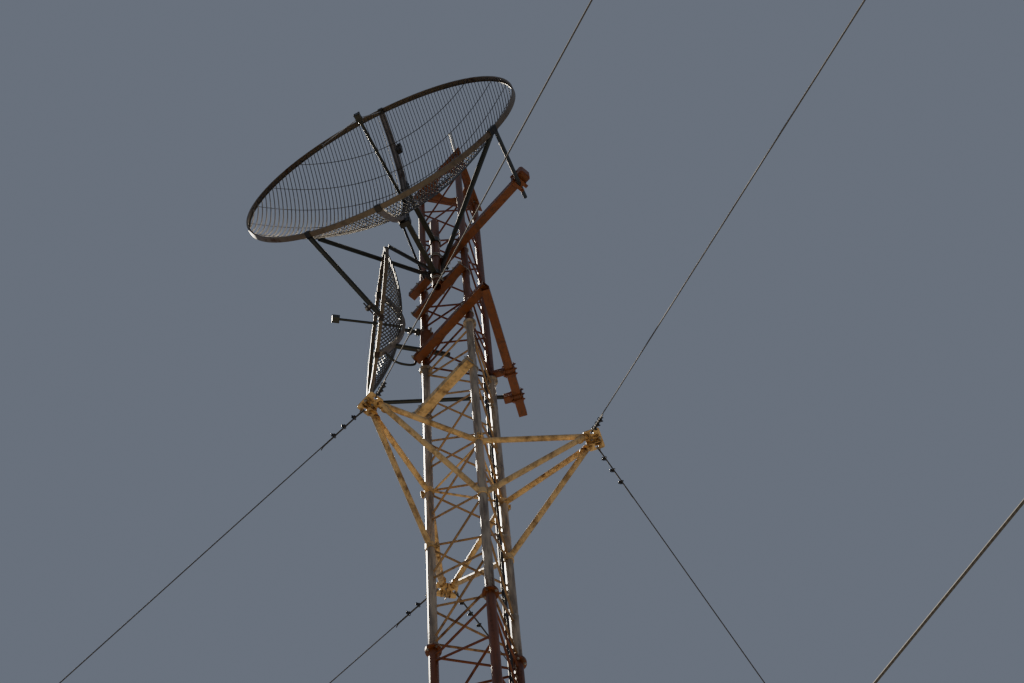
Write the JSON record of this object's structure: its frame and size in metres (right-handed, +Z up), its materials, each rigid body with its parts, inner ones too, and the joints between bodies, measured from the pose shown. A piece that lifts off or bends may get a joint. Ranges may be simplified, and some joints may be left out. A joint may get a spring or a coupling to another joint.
{
  "type": "radio mast",
  "caption": "Guyed three-legged lattice radio mast with guy arms, a large and a small grid dish on side tubes, and stay wires to ground anchors",
  "frame": {"origin": "centre of the underside of the base plate, on the mast axis", "axes": "+Z up the mast, +X to the right and -Y toward the near leg as in the picture"},
  "size_m": [34.8292, 30.171, 30.8681],
  "materials": {
    "concrete": "rough cast concrete",
    "orange_paint": "weathered rust orange paint",
    "white_paint": "chalky off white paint with rust",
    "tan_paint": "faded ochre paint",
    "galvanised_steel": "dull zinc",
    "aluminium": "weathered aluminium",
    "bronze_paint": "brown bronze paint",
    "olive_paint": "dark olive paint",
    "black_jacket": "black cable jacket"
  },
  "bodies": {
    "root": {"anchor_blocks": "concrete", "anchor_rods": "galvanised_steel", "base_plate": "galvanised_steel", "bracing_1": "orange_paint", "bracing_2": "white_paint", "bracing_3": "orange_paint", "bracing_4": "white_paint", "bracing_5": "orange_paint", "dish_arms": "olive_paint", "dish_cable": "black_jacket", "dish_feed": "olive_paint", "dish_grid_left": "aluminium", "dish_grid_right": "aluminium", "dish_rim": "bronze_paint", "dish_side_strut": "olive_paint", "dish_spine": "bronze_paint", "dish_struts": "olive_paint", "feeder_cable": "black_jacket", "guy_arm_clamps": "tan_paint", "guy_arms": "tan_paint", "legs_1": "orange_paint", "legs_2": "white_paint", "legs_3": "orange_paint", "legs_4": "white_paint", "legs_5": "orange_paint", "lightning_rod": "aluminium", "lower_guy_lugs": "white_paint", "lower_guys": "galvanised_steel", "lower_side_tube": "orange_paint", "middle_side_tube": "orange_paint", "mount_pipe": "orange_paint", "right_side_tube": "orange_paint", "right_tube_link": "orange_paint", "small_dish_feed": "olive_paint", "small_dish_grid": "aluminium", "small_dish_pipes": "olive_paint", "small_dish_rim": "bronze_paint", "small_dish_spine": "bronze_paint", "small_dish_struts": "olive_paint", "spare_side_tube": "tan_paint", "strut_clamps": "orange_paint", "top_plate": "orange_paint", "turnbuckles": "galvanised_steel", "upper_guys": "galvanised_steel", "upper_side_tube": "orange_paint"}
  },
  "joints": []
}
